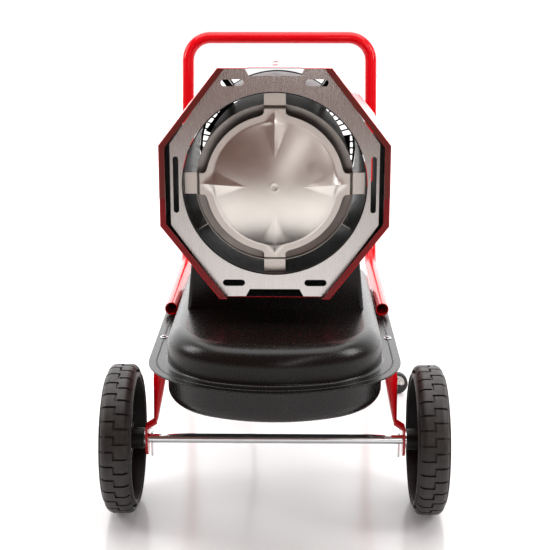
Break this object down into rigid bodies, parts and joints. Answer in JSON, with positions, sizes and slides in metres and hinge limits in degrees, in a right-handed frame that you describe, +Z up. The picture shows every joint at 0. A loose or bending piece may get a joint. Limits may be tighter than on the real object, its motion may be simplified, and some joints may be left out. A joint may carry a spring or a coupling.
{
  "type": "forced air heater",
  "caption": "Oil-fired forced air heater with an octagonal casing on a pressed tank, wheeled by a bent-tube trolley.",
  "frame": {"origin": "on the floor, under the middle of the heater's outer box, without the mains lead", "axes": "+X to the heater's left as it faces, which is the right of someone looking into the outlet; -Y the way the hot air blows; +Z up"},
  "size_m": [0.678, 1.1142, 0.919],
  "materials": {
    "red_paint": "gloss red powder coat",
    "black_paint": "satin black powder coat, finely textured",
    "stainless": "brushed stainless sheet",
    "zinc": "bright zinc plate",
    "tyre_rubber": "moulded black tyre",
    "foot_rubber": "matt black rubber",
    "lead": "matt black rubber cord and plug",
    "wheel_plastic": "moulded black plastic",
    "knob_plastic": "moulded black plastic",
    "button_plastic": "moulded red plastic",
    "lamp": "amber lens",
    "light_plastic": "light grey plastic",
    "neck_steel": "black painted steel",
    "motor_paint": "dark grey paint",
    "alloy": "cast alloy",
    "copper": "drawn copper pipe"
  },
  "bodies": {
    "trolley": {"side_frame_left": "red_paint", "side_frame_right": "red_paint", "rear_cross_tube": "red_paint", "rubber_foot_left": "foot_rubber", "rubber_foot_right": "foot_rubber", "handle_frame": "red_paint", "axle": "zinc", "axle_pin_left": "zinc", "axle_pin_right": "zinc", "axle_washers": "zinc", "axle_retainers": "zinc", "tank_upper": "black_paint", "tank_lower": "black_paint", "filler_neck": "neck_steel", "fuel_gauge": "light_plastic", "drain_plug": "zinc", "pedestal": "black_paint", "control_panel": "wheel_plastic", "indicator_lamp": "lamp", "mains_gland": "foot_rubber", "fuel_filter": "alloy", "fuel_line": "copper", "casing_upper": "red_paint", "casing_lower": "red_paint", "front_plate": "stainless", "air_duct": "black_paint", "duct_struts": "black_paint", "combustion_chamber": "stainless", "chamber_spacers": "stainless", "burner_head": "stainless", "diffuser_disc": "stainless", "diffuser_clips": "stainless", "motor": "motor_paint", "motor_bracket": "black_paint", "fuel_pump": "alloy", "rear_guard": "black_paint", "mains_cord": "lead", "mains_plug": "lead", "plug_insert": "light_plastic"},
    "left_wheel": {"tyre_left": "tyre_rubber", "wheel_left": "wheel_plastic", "hub_cap_left": "wheel_plastic"},
    "right_wheel": {"tyre_right": "tyre_rubber", "wheel_right": "wheel_plastic", "hub_cap_right": "wheel_plastic"},
    "rotor": {"fan": "black_paint", "motor_shaft": "zinc"},
    "cap": {"filler_cap": "wheel_plastic"},
    "rocker": {"rocker_switch": "knob_plastic"},
    "knob": {"thermostat_knob": "knob_plastic"},
    "button": {"reset_button": "button_plastic"}
  },
  "joints": [
    {"name": "left_wheel_spin", "type": "hinge", "parent": "trolley", "child": "left_wheel", "pos_m": [-0.3075, -0.229, 0.15], "axis": [1, 0, 0], "continuous": true},
    {"name": "right_wheel_spin", "type": "hinge", "parent": "trolley", "child": "right_wheel", "pos_m": [0.3075, -0.229, 0.15], "axis": [1, 0, 0], "continuous": true},
    {"name": "fan_spin", "type": "hinge", "parent": "trolley", "child": "rotor", "pos_m": [0, 0.01, 0.686], "axis": [0, 1, 0], "continuous": true},
    {"name": "filler_cap_lift", "type": "slide", "parent": "trolley", "child": "cap", "axis": [0, 0, 1], "range_m": [0, 0.022]},
    {"name": "switch_rock", "type": "hinge", "parent": "trolley", "child": "rocker", "pos_m": [-0.036, 0.089, 0.443], "axis": [-1, 0, 0], "range_deg": [0, 18]},
    {"name": "thermostat_turn", "type": "hinge", "parent": "trolley", "child": "knob", "pos_m": [0.008, 0.089, 0.443], "axis": [0, 1, 0], "range_deg": [0, 270]},
    {"name": "reset_press", "type": "slide", "parent": "trolley", "child": "button", "axis": [0, -1, 0], "range_m": [0, 0.003], "stiffness_N_per_m": 400, "springref_m": -0.001}
  ]
}
